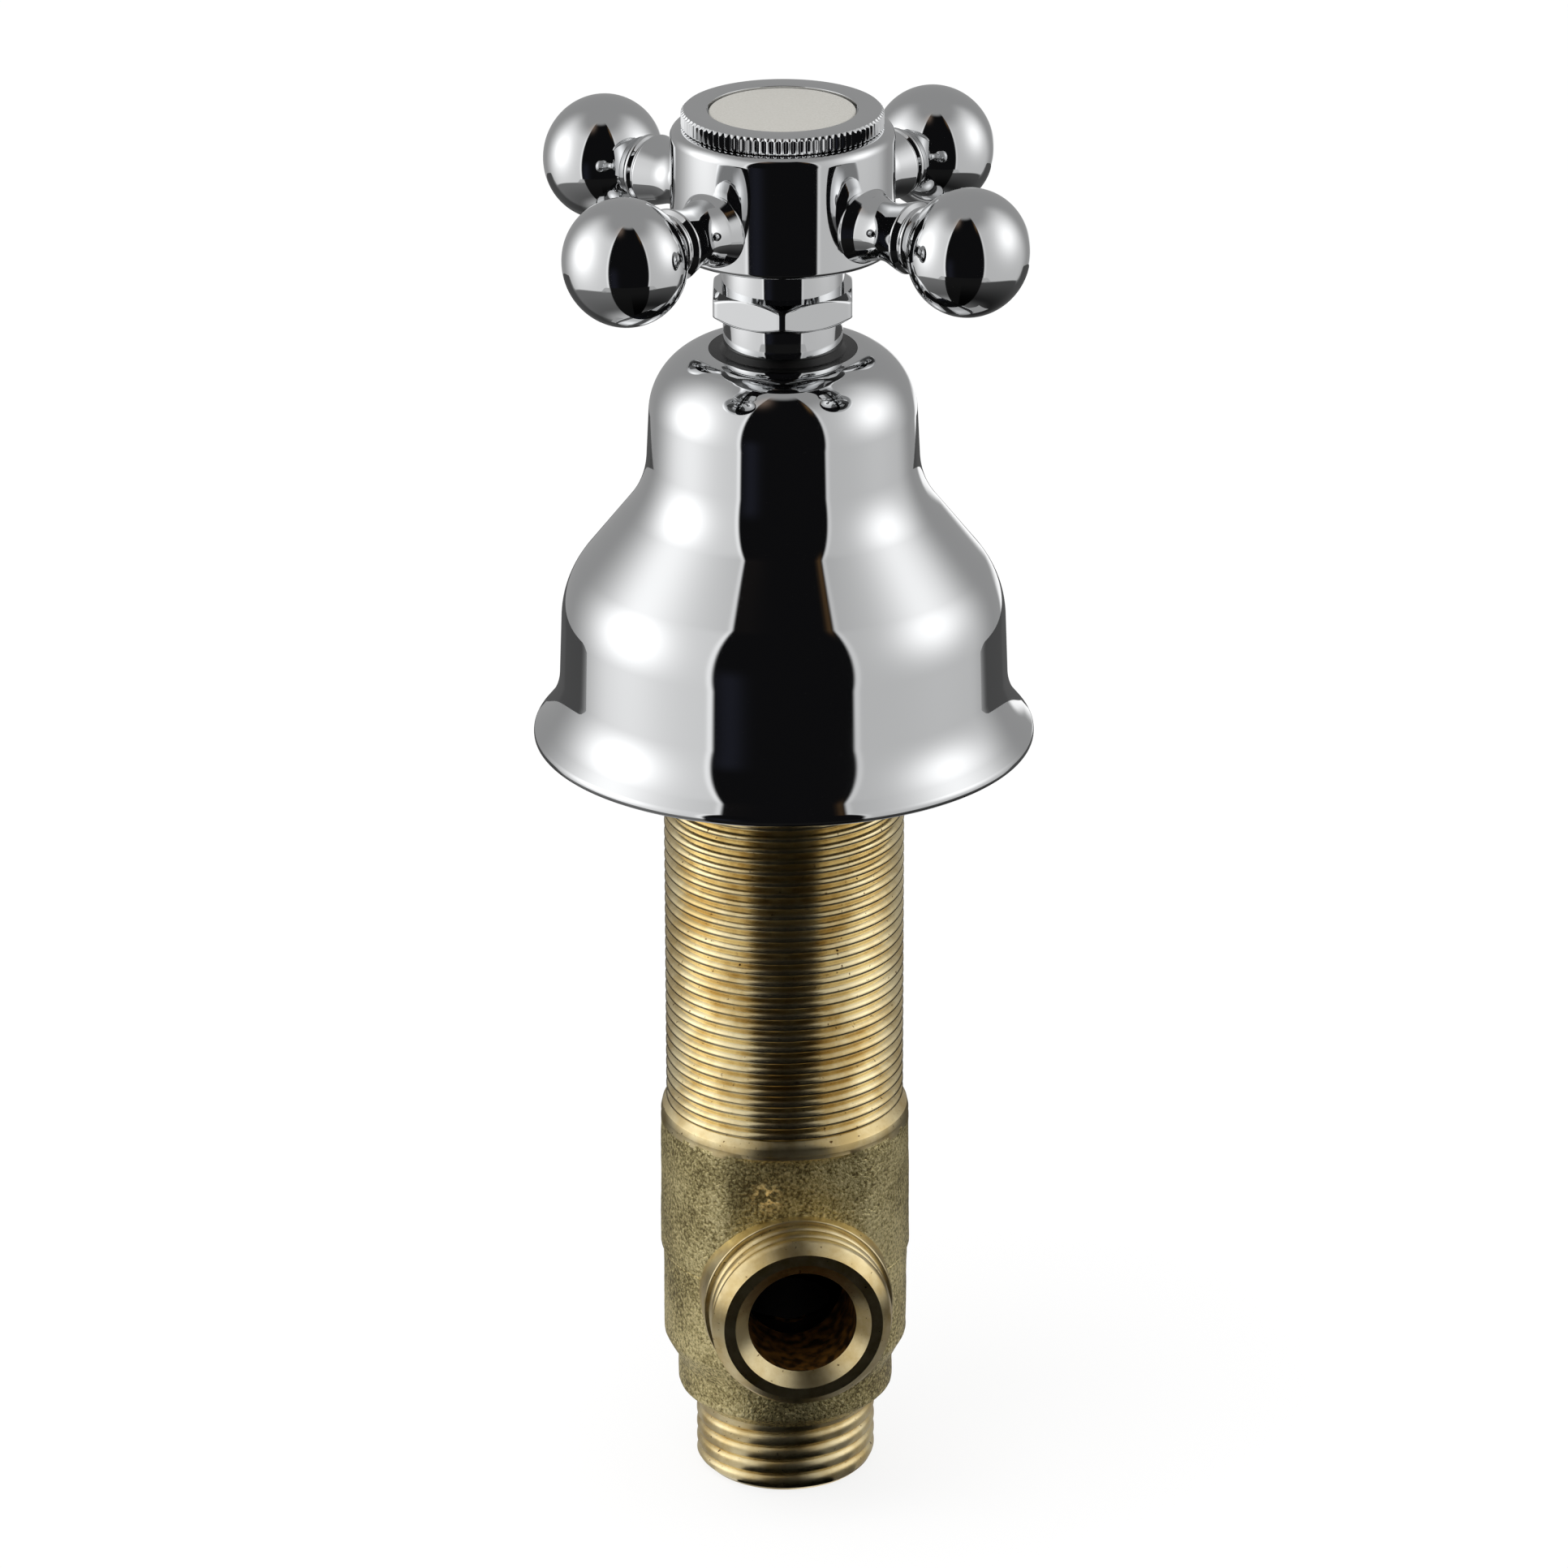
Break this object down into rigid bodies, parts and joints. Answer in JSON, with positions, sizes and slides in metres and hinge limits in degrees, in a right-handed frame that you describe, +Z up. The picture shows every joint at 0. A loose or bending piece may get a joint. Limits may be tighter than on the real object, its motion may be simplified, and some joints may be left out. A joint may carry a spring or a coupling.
{
  "type": "dishwasher shut-off valve",
  "caption": "Deck-mounted shut-off valve with ball-ended cross handle, chromed bell escutcheon, threaded shank and cast angle body with male inlet and side outlet.",
  "frame": {"origin": "on the valve's axis at the worktop plane, which is the plane of the bell's foot", "axes": "+Z up along the valve's axis to the handle, the outlet points along -Y"},
  "size_m": [0.0568, 0.0568, 0.1665],
  "materials": {
    "cast_brass": "sand-cast brass with machined threads and faces",
    "turned_brass": "turned brass",
    "chrome_plate": "polished chrome plate",
    "black_rubber": "matte rubber",
    "white_plastic": "smooth warm white",
    "stainless_steel": "bright stainless steel"
  },
  "bodies": {
    "housing": {"valve_body": "cast_brass", "bell_escutcheon": "chrome_plate", "bell_centring_ring": "black_rubber", "headwork_bonnet": "chrome_plate", "bonnet_seal_ring": "black_rubber", "guide_sleeve": "turned_brass"},
    "handle": {"cross_handle": "chrome_plate", "cap_ring": "chrome_plate", "index_disc": "white_plastic", "handle_screw": "stainless_steel", "handle_screw_washer": "stainless_steel", "spline_bush": "turned_brass", "spindle": "turned_brass", "lower_spindle_o_ring": "black_rubber", "upper_spindle_o_ring": "black_rubber", "spindle_circlip": "stainless_steel", "thrust_washer": "turned_brass"},
    "plug": {"plug_carrier": "turned_brass", "plug_o_ring": "black_rubber", "washer_cup": "turned_brass", "seat_washer": "black_rubber", "washer_screw": "turned_brass"}
  },
  "joints": [
    {"name": "handle_turn", "type": "hinge", "parent": "housing", "child": "handle", "pos_m": [0, 0, 0.0631], "axis": [0, 0, -1], "range_deg": [0, 1080]},
    {"name": "plug_slide", "type": "slide", "parent": "housing", "child": "plug", "axis": [0, 0, -1], "range_m": [0, 0.006]}
  ],
  "couplings": [
    {"joint": "plug_slide", "follows": "handle_turn", "m_per_rad": 0.0003183}
  ]
}
